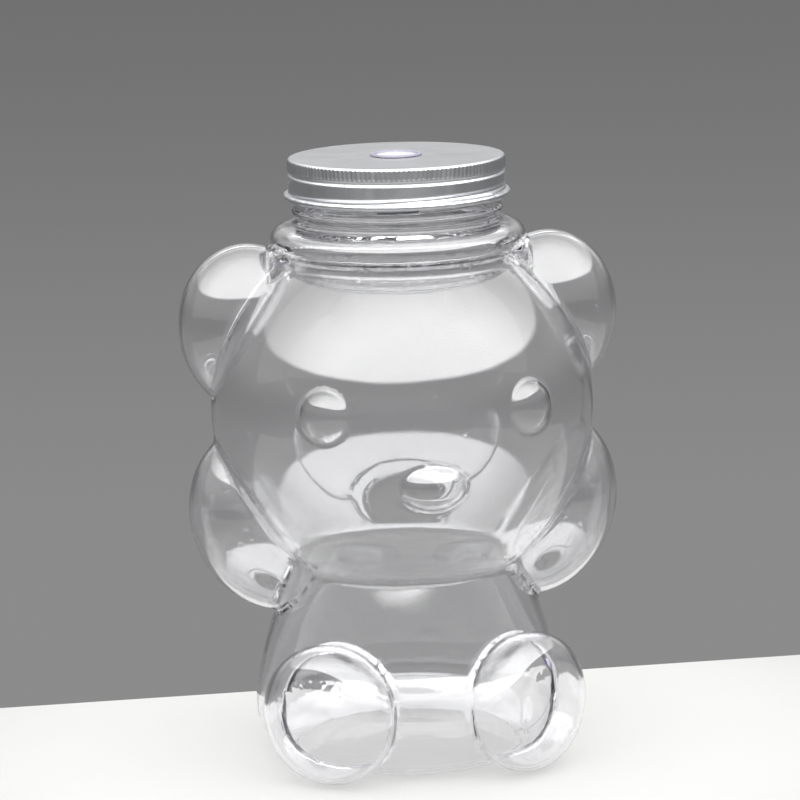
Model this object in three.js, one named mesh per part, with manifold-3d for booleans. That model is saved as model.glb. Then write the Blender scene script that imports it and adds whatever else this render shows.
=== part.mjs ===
// Bear-shaped drink bottle: a clear blow-moulded bear with a wide screw neck, a drawn aluminium
// screw cap, the foam liner inside it and the stopper that closes the cap's straw hole.
// Millimetres, +Z up, the bear looks along -Y, and the origin is under the middle of the model.

import * as THREE from 'three';
import { mergeVertices } from 'three/addons/utils/BufferGeometryUtils.js';
import Module from 'manifold-3d';

const wasm = await Module();
wasm.setup();

// Bottle shell
const WALL = 1.0;

// Trunk
const TRUNK_RADIUS = 38;
const TRUNK_TALL = 48;
const TRUNK_WIDEST_HEIGHT = 14.5;
const TRUNK_TOP_RADIUS = 28.5;
const TRUNK_BULGE = 8;
const TRUNK_TUCK = 3;
const BASE_CORNER = 12;
const STANDING_RING = 4.5;
const PUSH_UP_DEPTH = 4.5;

// Head
const HEAD_RADIUS = 47;
const HEAD_DEPTH = 46;
const HEAD_ABOVE = 44;
const HEAD_BELOW = 49;

// Ears and arms: the angle up or down the head's side, and how far the middle lies under its skin
const EAR = { angle: 30.4, sink: 3.6, back: 2, wide: 17, deep: 13.5, tall: 20.4, lean: 0 };
const ARM = { angle: -37.9, sink: 4.8, back: 0, wide: 19.5, deep: 17, tall: 23.6, lean: 20 };

// Feet
const FOOT_TURN = 38;
const FOOT_OUT = 2;
const FOOT_RADIUS = 17.1;
const FOOT_LIFT = 0.4;
const HEEL_DEPTH = 14;
const SOLE_EDGE = 7;
const SOLE_CROWN = 1.5;

// Face: heights are measured up or down from the middle of the head
const EYE_TURN = 32.5;
const EYE_UP = 4.4;
const EYE_DIAMETER = 13.6;
const EYE_RISE = 2.2;
const NOSE_UP = -12;
const NOSE_WIDTH = 18;
const NOSE_TALL = 13;
const NOSE_RISE = 4;

// Collar and neck
const NECK_RADIUS = 24.9;
const NECK_WALL = 1.9;
const WAIST_STEP = 3;
const WAIST_TALL = 2.2;
const COLLAR_STEP = 3.5;
const COLLAR_ROUND = 4.6;
const COLLAR_BELOW = 3;
const COLLAR_ABOVE = 4.4;
const NECK_TALL = 18.4;
const NECK_RING_UP = 7.4;
const NECK_RING_RISE = 0.8;
const NECK_RING_TALL = 1.6;

// Cap, liner and stopper
const THREAD_ROOM = 1;
const CAP_SHEET = 0.6;
const CAP_TALL = 10;
const CAP_EDGE = 0.8;
const CAP_GRIP_TALL = 3.6;
const CAP_GROOVE = 0.5;
const CAP_CURL = 0.8;
const LINER_THICK = 1.2;
const LINER_CLEARANCE = 0.2;
const SEAT_GAP = 0.1;
const STRAW_HOLE_RADIUS = 5.4;
const STEM_CLEARANCE = 0.25;
const STEM_LENGTH = 7;
const STOPPER_WALL = 1.2;
const STOPPER_LIP = 0.9;
const STOPPER_RISE = 0.5;
const STOPPER_WEB = 0.7;

// Facets
const ROUND_STEPS = 36;
const LOBE_STEPS = 18;
const LOBE_RINGS = 10;
const FACE_STEPS = 12;
const FACE_RINGS = 8;
const ARC_STEPS = 4;
const COLLAR_STEPS = 3;
const HEAD_STEPS = 6;

// What follows from the sizes: the head stands on the trunk and carries the waist, collar and neck,
// the waist and collar step out from the neck, and the cap goes over the neck with room for a thread.
const PUSH_UP_RADIUS = TRUNK_RADIUS - BASE_CORNER - STANDING_RING;
const WAIST_RADIUS = NECK_RADIUS + WAIST_STEP;
const COLLAR_RADIUS = WAIST_RADIUS + COLLAR_STEP;
const HEAD_HEIGHT = TRUNK_TALL + HEAD_BELOW * Math.sqrt(1 - (TRUNK_TOP_RADIUS / HEAD_RADIUS) ** 2);
const WAIST_FOOT = HEAD_HEIGHT + HEAD_ABOVE * Math.sqrt(1 - (WAIST_RADIUS / HEAD_RADIUS) ** 2);
const COLLAR_HEIGHT = WAIST_FOOT + WAIST_TALL + COLLAR_BELOW;
const NECK_RIM = COLLAR_HEIGHT + NECK_TALL;
const CAP_UNDERSIDE = NECK_RIM + LINER_THICK + 2 * SEAT_GAP;
const CAP_TOP = CAP_UNDERSIDE + CAP_SHEET;
const CAP_INSIDE = NECK_RADIUS + THREAD_ROOM;
const CAP_RADIUS = CAP_INSIDE + CAP_SHEET;

const point = (r, z) => new THREE.Vector2(r, z);
const radians = THREE.MathUtils.degToRad;

// Points along an elliptical arc of a profile, from one angle to another in degrees.
function arc(r, z, wide, tall, from, to, steps) {
  const points = [];
  for (let i = 0; i <= steps; i += 1) {
    const angle = radians(from + ((to - from) * i) / steps);
    points.push(point(r + wide * Math.cos(angle), z + tall * Math.sin(angle)));
  }
  return points;
}

// A profile turned round the Z axis.
function turned(profile, steps = ROUND_STEPS) {
  return new THREE.LatheGeometry(profile, steps).rotateX(Math.PI / 2);
}

// A sphere stretched to three half sizes.
function ellipsoid(wide, deep, tall, steps, rings) {
  return new THREE.SphereGeometry(1, steps, rings).rotateX(Math.PI / 2).scale(wide, deep, tall);
}

// A closed geometry as a solid that can be joined and cut.
function toSolid(geometry) {
  const bare = geometry.clone();
  bare.deleteAttribute('normal');
  bare.deleteAttribute('uv');
  const merged = mergeVertices(bare);
  const corners = merged.index.array;
  const triangles = [];
  for (let i = 0; i < corners.length; i += 3) {
    const [a, b, c] = corners.slice(i, i + 3);
    if (a !== b && b !== c && c !== a) triangles.push(a, b, c);
  }
  const mesh = new wasm.Mesh({
    numProp: 3,
    vertProperties: merged.attributes.position.array,
    triVerts: new Uint32Array(triangles),
  });
  return new wasm.Manifold(mesh);
}

// A solid back as a geometry.
function toGeometry(solid) {
  const { numProp, vertProperties, triVerts } = solid.getMesh();
  const geometry = new THREE.BufferGeometry();
  geometry.setAttribute('position', new THREE.BufferAttribute(Float32Array.from(vertProperties), numProp));
  geometry.setIndex(new THREE.BufferAttribute(Uint32Array.from(triVerts), 1));
  geometry.computeVertexNormals();
  return geometry;
}

// Several closed geometries joined into one solid.
function joined(geometries) {
  return geometries.map(toSolid).reduce((whole, next) => whole.add(next));
}

// The bottle's forms take an inset: zero gives the outer skin, the wall gives the hollow inside it.

// The bell-shaped trunk on a flat standing ring round a domed push-up.
function trunk(inset) {
  const domeRadius = (PUSH_UP_RADIUS ** 2 + PUSH_UP_DEPTH ** 2) / (2 * PUSH_UP_DEPTH);
  const domeCentre = PUSH_UP_DEPTH - domeRadius;
  const domeEdge = Math.acos((inset - domeCentre) / (domeRadius + inset));
  const dome = arc(0, domeCentre, domeRadius + inset, domeRadius + inset,
    90, 90 - THREE.MathUtils.radToDeg(domeEdge), ARC_STEPS);
  const corner = arc(TRUNK_RADIUS - BASE_CORNER, BASE_CORNER, BASE_CORNER - inset, BASE_CORNER - inset,
    -90, 0, ARC_STEPS);
  const side = new THREE.QuadraticBezierCurve(
    point(TRUNK_RADIUS - inset, TRUNK_WIDEST_HEIGHT),
    point(TRUNK_RADIUS - inset, TRUNK_WIDEST_HEIGHT + TRUNK_BULGE),
    point(TRUNK_TOP_RADIUS - inset, TRUNK_TALL),
  ).getPoints(ARC_STEPS);
  const tuck = TRUNK_TALL + TRUNK_TUCK;
  return turned([...dome, ...corner, ...side, point(TRUNK_TOP_RADIUS - inset, tuck), point(0, tuck)]);
}

// The round head, deeper below its middle than above it.
function head(inset) {
  const wide = HEAD_RADIUS - inset;
  const below = arc(0, HEAD_HEIGHT, wide, HEAD_BELOW - inset, -90, 0, HEAD_STEPS);
  const above = arc(0, HEAD_HEIGHT, wide, HEAD_ABOVE - inset, 0, 90, HEAD_STEPS);
  const squeeze = (HEAD_DEPTH - inset) / wide;
  return turned([...below, ...above.slice(1)]).scale(1, squeeze, 1);
}

// An ear or an arm on one side of the head: an egg that leans outwards at its top.
function lobe(size, side, inset) {
  const reach = size.angle > 0 ? HEAD_ABOVE : HEAD_BELOW;
  const skin = point(HEAD_RADIUS * Math.cos(radians(size.angle)), reach * Math.sin(radians(size.angle)));
  const middle = skin.clone().setLength(skin.length() - size.sink);
  return ellipsoid(size.wide - inset, size.deep - inset, size.tall - inset, LOBE_STEPS, LOBE_RINGS)
    .rotateY(radians(side * size.lean))
    .translate(side * middle.x, size.back, HEAD_HEIGHT + middle.y);
}

// A stubby foot that points forwards and outwards, round behind and with a softly crowned sole.
function foot(side, inset) {
  const edge = SOLE_EDGE - inset;
  const heel = arc(0, 0, FOOT_RADIUS - inset, HEEL_DEPTH - inset, -90, 0, ARC_STEPS);
  const toe = arc(FOOT_RADIUS - SOLE_EDGE, 0, edge, edge, 0, 90, ARC_STEPS);
  return turned([...heel, ...toe.slice(1), point(0, edge + SOLE_CROWN)], LOBE_STEPS)
    .rotateX(Math.PI / 2)
    .translate(0, -TRUNK_RADIUS - FOOT_OUT, FOOT_RADIUS + FOOT_LIFT)
    .rotateZ(radians(side * FOOT_TURN));
}

// A low oval dome on the head's surface, turned from the front by an angle.
function faceDome(wide, tall, rise, up, turn, inset) {
  const level = Math.sqrt(1 - (up / (up > 0 ? HEAD_ABOVE : HEAD_BELOW)) ** 2);
  const x = Math.sin(radians(turn)) * HEAD_RADIUS * level;
  const y = -Math.cos(radians(turn)) * HEAD_DEPTH * level;
  const slope = Math.atan2(x / HEAD_RADIUS ** 2, -y / HEAD_DEPTH ** 2);
  const deep = 2 * rise - inset;
  return ellipsoid(wide / 2 - inset, deep, tall / 2 - inset, FACE_STEPS, FACE_RINGS)
    .translate(0, rise, 0)
    .rotateZ(slope)
    .translate(x, y, HEAD_HEIGHT + up);
}

// Round stretches between the head and the neck: a short waist and a rounded collar.
function shoulder(inset) {
  const centre = COLLAR_RADIUS - COLLAR_ROUND;
  const round = COLLAR_ROUND - inset;
  const below = COLLAR_BELOW - inset;
  const above = COLLAR_ABOVE - inset;
  const waist = [point(0, HEAD_HEIGHT), point(WAIST_RADIUS - inset, HEAD_HEIGHT)];
  waist.push(point(WAIST_RADIUS - inset, COLLAR_HEIGHT), point(0, COLLAR_HEIGHT));
  const under = arc(centre, COLLAR_HEIGHT, round, below, -90, 0, COLLAR_STEPS);
  const over = arc(centre, COLLAR_HEIGHT, round, above, 0, 90, COLLAR_STEPS);
  const ends = [point(0, COLLAR_HEIGHT - below), point(0, COLLAR_HEIGHT + above)];
  return [turned(waist), turned([ends[0], ...under, ...over.slice(1), ends[1]])];
}

// Everything on the bear below its neck.
function bear(inset) {
  const forms = [trunk(inset), head(inset), ...shoulder(inset)];
  forms.push(faceDome(NOSE_WIDTH, NOSE_TALL, NOSE_RISE, NOSE_UP, 0, inset));
  for (const side of [-1, 1]) {
    forms.push(lobe(EAR, side, inset), lobe(ARM, side, inset), foot(side, inset));
    forms.push(faceDome(EYE_DIAMETER, EYE_DIAMETER, EYE_RISE, EYE_UP, side * EYE_TURN, inset));
  }
  return forms;
}

// The neck with the ring that stops the cap, as a plug of its outer size.
function neck() {
  const crest = COLLAR_HEIGHT + NECK_RING_UP;
  const ring = [
    point(NECK_RADIUS, crest - NECK_RING_TALL / 2),
    point(NECK_RADIUS + NECK_RING_RISE, crest),
    point(NECK_RADIUS, crest + NECK_RING_TALL / 2),
  ];
  const root = [point(0, COLLAR_HEIGHT), point(NECK_RADIUS, COLLAR_HEIGHT)];
  return turned([...root, ...ring, point(NECK_RADIUS, NECK_RIM), point(0, NECK_RIM)]);
}

// The way in through the neck, from inside the collar to past the rim.
function bore() {
  const radius = NECK_RADIUS - NECK_WALL;
  const top = NECK_RIM + NECK_WALL;
  const low = COLLAR_HEIGHT;
  return turned([point(0, low), point(radius, low), point(radius, top), point(0, top)]);
}

// The whole bottle: the outer skin less the hollow inside it.
function bottle() {
  const skin = joined([...bear(0), neck()]);
  const hollow = joined([...bear(WALL), bore()]);
  return toGeometry(skin.subtract(hollow));
}

// The cap: a drawn cup with a grip band, a groove below it and a curled edge, pierced for a straw.
function cap() {
  const bottom = CAP_TOP - CAP_TALL;
  const grip = CAP_TOP - CAP_GRIP_TALL;
  const curl = arc(CAP_RADIUS + CAP_CURL / 2, bottom + CAP_CURL, CAP_CURL, CAP_CURL, -90, 90, ARC_STEPS);
  const groove = [
    point(CAP_RADIUS, bottom + 2 * CAP_CURL),
    point(CAP_RADIUS, grip - CAP_GROOVE),
    point(CAP_RADIUS - CAP_SHEET / 2, grip - CAP_GROOVE / 2),
    point(CAP_RADIUS, grip),
  ];
  const edge = arc(CAP_RADIUS - CAP_EDGE, CAP_TOP - CAP_EDGE, CAP_EDGE, CAP_EDGE, 0, 90, ARC_STEPS);
  const inside = [
    point(STRAW_HOLE_RADIUS, CAP_TOP),
    point(STRAW_HOLE_RADIUS, CAP_UNDERSIDE),
    point(CAP_INSIDE, CAP_UNDERSIDE),
    point(CAP_INSIDE, bottom),
  ];
  return turned([...curl, ...groove, ...edge, ...inside, curl[0]]);
}

// The foam ring that the cap presses on the neck's rim.
function liner() {
  const inner = STRAW_HOLE_RADIUS + LINER_CLEARANCE;
  const outer = CAP_INSIDE - LINER_CLEARANCE;
  const low = NECK_RIM + SEAT_GAP;
  const high = low + LINER_THICK;
  const section = [point(inner, low), point(outer, low), point(outer, high), point(inner, high)];
  return turned([...section, section[0]]);
}

// The soft plug in the straw hole: a dished head with a lip on the cap, and a hollow stem.
function stopper() {
  const stem = STRAW_HOLE_RADIUS - STEM_CLEARANCE;
  const lip = STRAW_HOLE_RADIUS + STOPPER_LIP;
  const seat = CAP_TOP + SEAT_GAP;
  const rise = seat + STOPPER_RISE;
  const tip = seat - STEM_LENGTH;
  const web = CAP_TOP - STOPPER_WEB;
  return turned([
    point(0, web),
    point(stem - STOPPER_WALL, web),
    point(stem - STOPPER_WALL, tip),
    point(stem - STOPPER_WALL / 2, tip),
    point(stem, tip + STOPPER_WALL / 2),
    point(stem, seat),
    point(lip, seat),
    point(lip - STOPPER_RISE / 2, rise),
    point(stem + STOPPER_RISE / 2, rise),
    point(stem - STOPPER_RISE / 2, CAP_TOP),
    point(0, CAP_TOP),
  ]);
}

// A named sub-part with its finish.
function part(name, geometry, color, roughness, metalness) {
  const material = new THREE.MeshStandardMaterial({ color, roughness, metalness });
  const mesh = new THREE.Mesh(geometry, material);
  mesh.name = name;
  return mesh;
}

const model = new THREE.Group();
model.add(part('bottle_body', bottle(), 0xe6e8ee, 0.05, 0));
model.add(part('screw_cap', cap(), 0xc9cacb, 0.35, 1));
model.add(part('cap_liner', liner(), 0xf2f2ef, 0.8, 0));
model.add(part('straw_stopper', stopper(), 0xf4f3f6, 0.5, 0));

// The bear's nose and feet reach further from the neck than its back does, so the model is moved
// along Y until its own middle is over the origin.
const extent = new THREE.Box3().setFromObject(model);
model.position.y = -(extent.min.y + extent.max.y) / 2;

export default model;
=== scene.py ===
"""A clear bear-shaped drink bottle with an aluminium screw cap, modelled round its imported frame.

The bottle is one blown shell with an even wall: a round head and a bell-shaped trunk with ears,
arms, feet and a face swelling out of them through soft fillets. The cap, its foam liner and the
stopper in its straw hole are turned pieces. Sizes are in millimetres until a mesh is written.
"""

import logging
import math
from collections.abc import Iterator
from contextlib import contextmanager
from dataclasses import dataclass, field
from enum import Enum

import bmesh
import bpy
import numpy as np
from mathutils import Matrix, Vector


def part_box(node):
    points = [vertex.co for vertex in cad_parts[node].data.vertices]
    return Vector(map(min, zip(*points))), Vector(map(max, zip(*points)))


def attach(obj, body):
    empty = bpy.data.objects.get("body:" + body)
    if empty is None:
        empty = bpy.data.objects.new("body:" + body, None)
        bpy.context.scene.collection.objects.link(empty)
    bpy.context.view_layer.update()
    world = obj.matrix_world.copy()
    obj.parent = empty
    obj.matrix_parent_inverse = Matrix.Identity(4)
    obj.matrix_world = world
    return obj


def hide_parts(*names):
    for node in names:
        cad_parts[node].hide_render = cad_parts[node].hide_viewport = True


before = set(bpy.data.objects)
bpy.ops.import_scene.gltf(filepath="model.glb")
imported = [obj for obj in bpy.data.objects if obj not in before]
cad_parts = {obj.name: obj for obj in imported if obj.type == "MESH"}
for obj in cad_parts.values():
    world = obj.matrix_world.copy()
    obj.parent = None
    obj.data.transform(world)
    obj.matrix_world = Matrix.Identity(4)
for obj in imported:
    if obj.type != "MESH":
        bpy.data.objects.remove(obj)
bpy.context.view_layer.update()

MM = 0.001
MERGE = 1e-6
TINY = 1e-9
TOUCH = 1e-3
# A Mix node's sockets share their names, so they go by number.
SHARE, VALUE_A, VALUE_B, COLOUR_A, COLOUR_B, COLOUR_OUT = 0, 2, 3, 6, 7, 2
LOG = logging.getLogger("bear_bottle")

Pairs = list[tuple[float, float]]
Triple = tuple[float, float, float]
Spots = tuple[np.ndarray, np.ndarray, np.ndarray]


class Side(Enum):
    """The bear's two sides, by the sign of X."""

    RIGHT_HAND = -1
    LEFT_HAND = 1


class Wall(Enum):
    """The two skins of the blown shell."""

    OUTER = "outer"
    INNER = "inner"


def by_wall(outer: float, inner: float) -> dict[Wall, float]:
    """Gives a dataclass field that holds one size for each skin."""
    return field(default_factory=lambda: {Wall.OUTER: outer, Wall.INNER: inner})


# The frame gives the heights and the axis that the turned pieces share.


def node_heights(node: str) -> tuple[float, float]:
    """Gives the lowest and highest Z of a CAD node in millimetres."""
    low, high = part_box(node)
    return low.z / MM, high.z / MM


def neck_axis_y() -> float:
    """Gives the Y of the neck's axis in millimetres, which is the middle of the round cap."""
    low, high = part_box("screw_cap")
    return (low.y + high.y) / 2 / MM


# Helpers for outlines, meshes and nodes


def arc(r: float, z: float, wide: float, tall: float, start: float, end: float, steps: int) -> Pairs:
    """Gives points along an elliptical arc of an outline.

    Args:
        r: Distance of the arc's middle from the axis.
        z: Height of the arc's middle.
        wide: Half size across.
        tall: Half size in height.
        start: First angle in degrees.
        end: Last angle in degrees.
        steps: Number of stretches.

    Returns:
        The points, the first and the last included.
    """
    angles = np.radians(np.linspace(start, end, steps + 1))
    return [(r + wide * math.cos(a), z + tall * math.sin(a)) for a in angles]


def line(r: float, start: float, end: float, step: float) -> Pairs:
    """Gives evenly spaced points up or down a straight stretch of an outline.

    Args:
        r: Distance of the stretch from the axis.
        start: First height.
        end: Last height.
        step: Spacing that the points come near to.

    Returns:
        The points, the first and the last included.
    """
    count = max(1, round(abs(end - start) / step))
    return [(r, z) for z in np.linspace(start, end, count + 1)]


def deselect() -> None:
    """Leaves object mode with nothing selected."""
    if bpy.context.object and bpy.context.object.mode != "OBJECT":
        bpy.ops.object.mode_set(mode="OBJECT")
    bpy.ops.object.select_all(action="DESELECT")


def pick(*objects: bpy.types.Object) -> None:
    """Selects only some objects, and makes the first of them active.

    Args:
        objects: The objects to select.
    """
    deselect()
    for item in objects:
        item.select_set(True)
    bpy.context.view_layer.objects.active = objects[0]


@contextmanager
def editing(piece: bpy.types.Object, action: str = "SELECT") -> Iterator[None]:
    """Holds a piece in edit mode, and leaves it in object mode afterwards.

    Args:
        piece: The piece to edit.
        action: What is done to its whole selection first.

    Yields:
        Nothing.
    """
    pick(piece)
    bpy.ops.object.mode_set(mode="EDIT")
    bpy.ops.mesh.select_all(action=action)
    yield
    bpy.ops.object.mode_set(mode="OBJECT")


def turned(name: str, outline: Pairs, steps: int, closed: bool) -> bpy.types.Object:
    """Spins an outline round the neck's axis.

    Args:
        name: Name of the piece.
        outline: Points as distance from the axis and height, in millimetres.
        steps: Number of columns round the axis.
        closed: True if the outline's last point joins its first.

    Returns:
        The new object, with its place in its mesh.
    """
    deselect()
    y = neck_axis_y()
    points = [(r * MM, y * MM, z * MM) for r, z in outline]
    edges = [(i, i + 1) for i in range(len(points) - 1)]
    if closed:
        edges.append((len(points) - 1, 0))
    mesh = bpy.data.meshes.new(name)
    mesh.from_pydata(points, edges, [])
    piece = bpy.data.objects.new(name, mesh)
    bpy.context.collection.objects.link(piece)
    with editing(piece):
        bpy.ops.mesh.spin(steps=steps, angle=math.tau, center=(0, y * MM, 0), axis=(0, 0, 1))
        bpy.ops.mesh.select_all(action="SELECT")
        bpy.ops.mesh.remove_doubles(threshold=MERGE)
        bpy.ops.mesh.normals_make_consistent(inside=False)
    return piece


def points_of(piece: bpy.types.Object) -> np.ndarray:
    """Reads a mesh's points.

    Args:
        piece: The piece to read.

    Returns:
        The points in millimetres from the neck's axis, one row each.
    """
    flat = np.empty(len(piece.data.vertices) * 3)
    piece.data.vertices.foreach_get("co", flat)
    points = flat.reshape(-1, 3) / MM
    points[:, 1] -= neck_axis_y()
    return points


def set_points(piece: bpy.types.Object, points: np.ndarray) -> None:
    """Puts points back into a mesh.

    Args:
        piece: The piece to change.
        points: The points in millimetres from the neck's axis, one row each.
    """
    placed = points.copy()
    placed[:, 1] += neck_axis_y()
    piece.data.vertices.foreach_set("co", (placed * MM).ravel())
    piece.data.update()


def push_out(piece: bpy.types.Object, amount: np.ndarray) -> None:
    """Moves each point of a turned piece away from the axis.

    Args:
        piece: The piece to change.
        amount: One distance in millimetres for each point; a negative one moves it inwards.
    """
    points = points_of(piece)
    reach = np.hypot(points[:, 0], points[:, 1])
    points[:, :2] *= ((reach + amount) / np.maximum(reach, TINY))[:, None]
    set_points(piece, points)


def smooth_step(value: np.ndarray) -> np.ndarray:
    """Eases values from 0 to 1."""
    held = np.clip(value, 0, 1)
    return held * held * (3 - 2 * held)


def rounded_edges(piece: bpy.types.Object, width: float, segments: int, angle: float) -> None:
    """Rounds a piece's sharp edges with an applied Bevel.

    Args:
        piece: The piece to change.
        width: Width of the rounding in millimetres.
        segments: Number of faces across it.
        angle: Edges sharper than this many degrees are rounded.
    """
    pick(piece)
    bevel = piece.modifiers.new("rounding", "BEVEL")
    bevel.width = width * MM
    bevel.segments = segments
    bevel.limit_method = "ANGLE"
    bevel.angle_limit = math.radians(angle)
    bpy.ops.object.modifier_apply(modifier=bevel.name)


def smoothed(piece: bpy.types.Object, angle: float) -> None:
    """Shades a piece smooth, apart from edges sharper than an angle in degrees."""
    pick(piece)
    bpy.ops.object.shade_smooth_by_angle(angle=math.radians(angle))


def linear(code: str) -> tuple[float, float, float, float]:
    """Turns an sRGB hex colour into a linear one.

    Args:
        code: The colour, such as "#C8C9CB".

    Returns:
        Red, green, blue and an alpha of 1.
    """
    parts = [int(code[i : i + 2], 16) / 255 for i in (1, 3, 5)]
    r, g, b = [c / 12.92 if c <= 0.04045 else ((c + 0.055) / 1.055) ** 2.4 for c in parts]
    return r, g, b, 1.0


def per_metre(size: float) -> float:
    """Gives the texture scale that makes one repeat as long as a size in millimetres."""
    return 1 / (size * MM)


def fill(node: bpy.types.Node, inputs: dict | list) -> None:
    """Sets or links the inputs of a node.

    Args:
        node: The node to fill.
        inputs: A value, or an output socket to link from, for each input: a list in the order of
            the inputs, or a dict by their names or numbers.
    """
    pairs = inputs.items() if isinstance(inputs, dict) else enumerate(inputs)
    for socket, value in pairs:
        if isinstance(value, bpy.types.NodeSocket):
            node.id_data.links.new(value, node.inputs[socket])
        else:
            node.inputs[socket].default_value = value


def add_node(
    tree: bpy.types.NodeTree, kind: str, inputs: dict | list, out: str | int = 0, **settings: object
) -> bpy.types.NodeSocket:
    """Adds a shader node with its settings, its values and its links.

    Args:
        tree: The node tree to add to.
        kind: The node's type name, without the "ShaderNode" that it begins with.
        inputs: What fill takes.
        out: Name or number of the output that is wanted.
        settings: Properties of the node.

    Returns:
        That output of the new node.
    """
    node = tree.nodes.new("ShaderNode" + kind)
    for name, value in settings.items():
        setattr(node, name, value)
    fill(node, inputs)
    return node.outputs[out]


def new_material(name: str) -> tuple[bpy.types.Material, bpy.types.Node, bpy.types.NodeSocket]:
    """Starts a material.

    Args:
        name: Name of the real material.

    Returns:
        The material, its Principled shader and the place on the piece, for patterns.
    """
    material = bpy.data.materials.new(name)
    material.use_nodes = True
    place = add_node(material.node_tree, "TexCoord", {}, "Object")
    return material, material.node_tree.nodes["Principled BSDF"], place


# Finishes


@dataclass(frozen=True)
class ClearPet:
    """Stretch-blown PET: water clear and glossy, with a slow waviness and a fine parting line."""

    colour: str = "#FDFDFE"
    edge_colour: str = "#DAD6EC"
    edge_density: float = 14.0
    ior: float = 1.575
    gloss: tuple[float, float] = (0.015, 0.05)
    haze_size: float = 26.0
    haze_span: tuple[float, float] = (0.35, 0.7)
    haze_detail: float = 3.0
    wave_size: float = 11.0
    wave_height: float = 0.05
    wave_detail: float = 1.0
    parting_width: float = 0.45
    parting_height: float = 0.05

    def material(self) -> bpy.types.Material:
        """Gives clear plastic whose reflections swim a little, as they do on a blown wall.

        Returns:
            The material.
        """
        made, shader, place = new_material("blown_clear_pet")
        tree = made.node_tree
        # Handling leaves some patches a little less glossy than others.
        size = {"Scale": per_metre(self.haze_size), "Detail": self.haze_detail}
        haze = add_node(tree, "TexNoise", {"Vector": place, **size})
        gloss = add_node(tree, "MapRange", [haze, *self.haze_span, *self.gloss])
        # The wall is not quite even.
        size = {"Scale": per_metre(self.wave_size), "Detail": self.wave_detail}
        wave = add_node(tree, "TexNoise", {"Vector": place, **size})
        swell = add_node(tree, "Math", [wave, self.wave_height * MM], operation="MULTIPLY")
        # The mould's two halves meet in the plane of the ears and leave a fine raised line.
        depth = add_node(tree, "SeparateXYZ", [place], "Y")
        behind = add_node(tree, "Math", [depth, neck_axis_y() * MM], operation="SUBTRACT")
        away = add_node(tree, "Math", [behind], operation="ABSOLUTE")
        ridge = [away, 0.0, self.parting_width / 2 * MM, self.parting_height * MM, 0.0]
        seam = add_node(tree, "MapRange", ridge, interpolation_type="SMOOTHSTEP")
        relief = add_node(tree, "Math", [swell, seam], operation="ADD")
        bump = add_node(tree, "Bump", {"Height": relief, "Strength": 1.0, "Distance": 1.0})
        # Looked through edge on, the wall has the faint lilac of clear PET.
        tint = {"Color": linear(self.edge_colour), "Density": self.edge_density}
        absorb = add_node(tree, "VolumeAbsorption", tint)
        fill(tree.nodes["Material Output"], {"Volume": absorb})
        fill(
            shader,
            {
                "Base Color": linear(self.colour),
                "IOR": self.ior,
                "Transmission Weight": 1.0,
                "Roughness": gloss,
                "Normal": bump,
            },
        )
        return made


@dataclass(frozen=True)
class DrawnAluminium:
    """Drawn aluminium sheet under clear lacquer: pale, satin, with fine handling marks."""

    colour: str = "#CDCED0"
    shade: str = "#C1C2C5"
    roughness: tuple[float, float] = (0.29, 0.35)
    cloud_size: float = 9.0
    cloud_detail: float = 4.0
    grain_size: float = 0.35
    grain_height: float = 0.004
    grain_detail: float = 2.0
    scratch_size: float = 8.4
    scratch_stretch: float = 14.0
    scratch_turn: float = 24.0
    scratch_span: tuple[float, float] = (0.35, 0.68)
    scratch_detail: float = 3.0

    def material(self) -> bpy.types.Material:
        """Gives a soft sheen broken by a fine grain and faint scratches.

        Returns:
            The material.
        """
        made, shader, place = new_material("drawn_aluminium_satin_lacquer")
        tree = made.node_tree
        size = {"Scale": per_metre(self.cloud_size), "Detail": self.cloud_detail}
        cloud = add_node(tree, "TexNoise", {"Vector": place, **size})
        tones = {SHARE: cloud, COLOUR_A: linear(self.colour), COLOUR_B: linear(self.shade)}
        tone = add_node(tree, "Mix", tones, COLOUR_OUT, data_type="RGBA")
        # Handling marks are fine scratches that run mostly one way.
        turn = (0.0, 0.0, math.radians(self.scratch_turn))
        stretch = (1.0, self.scratch_stretch, 1.0)
        stretched = add_node(tree, "Mapping", {"Vector": place, "Rotation": turn, "Scale": stretch})
        size = {"Scale": per_metre(self.scratch_size), "Detail": self.scratch_detail}
        scratch = add_node(tree, "TexNoise", {"Vector": stretched, **size})
        sheen = add_node(tree, "MapRange", [scratch, *self.scratch_span, *self.roughness])
        # The sheet's own grain is finer than a pixel, so it is drawn coarse enough to show.
        size = {"Scale": per_metre(self.grain_size), "Detail": self.grain_detail}
        grain = add_node(tree, "TexNoise", {"Vector": place, **size})
        relief = {"Height": grain, "Strength": 1.0, "Distance": self.grain_height * MM}
        bump = add_node(tree, "Bump", relief)
        fill(
            shader,
            {
                "Metallic": 1.0,
                "Base Color": tone,
                "Roughness": sheen,
                "Normal": bump,
            },
        )
        return made


@dataclass(frozen=True)
class FoamedPolyethylene:
    """Foamed polyethylene sheet: white and matte, with small closed cells."""

    colour: str = "#F3F3F0"
    shade: str = "#E4E4DF"
    roughness: float = 0.75
    cell_size: float = 0.45
    cell_height: float = 0.03

    def material(self) -> bpy.types.Material:
        """Gives a matte white pitted by the foam's cells.

        Returns:
            The material.
        """
        made, shader, place = new_material("foamed_polyethylene")
        tree = made.node_tree
        size = {"Scale": per_metre(self.cell_size)}
        cells = add_node(tree, "TexVoronoi", {"Vector": place, **size})
        tones = {SHARE: cells, COLOUR_A: linear(self.colour), COLOUR_B: linear(self.shade)}
        tone = add_node(tree, "Mix", tones, COLOUR_OUT, data_type="RGBA")
        relief = {"Height": cells, "Strength": 1.0, "Distance": self.cell_height * MM}
        bump = add_node(tree, "Bump", relief)
        fill(
            shader,
            {
                "Base Color": tone,
                "Roughness": self.roughness,
                "Normal": bump,
            },
        )
        return made


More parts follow.
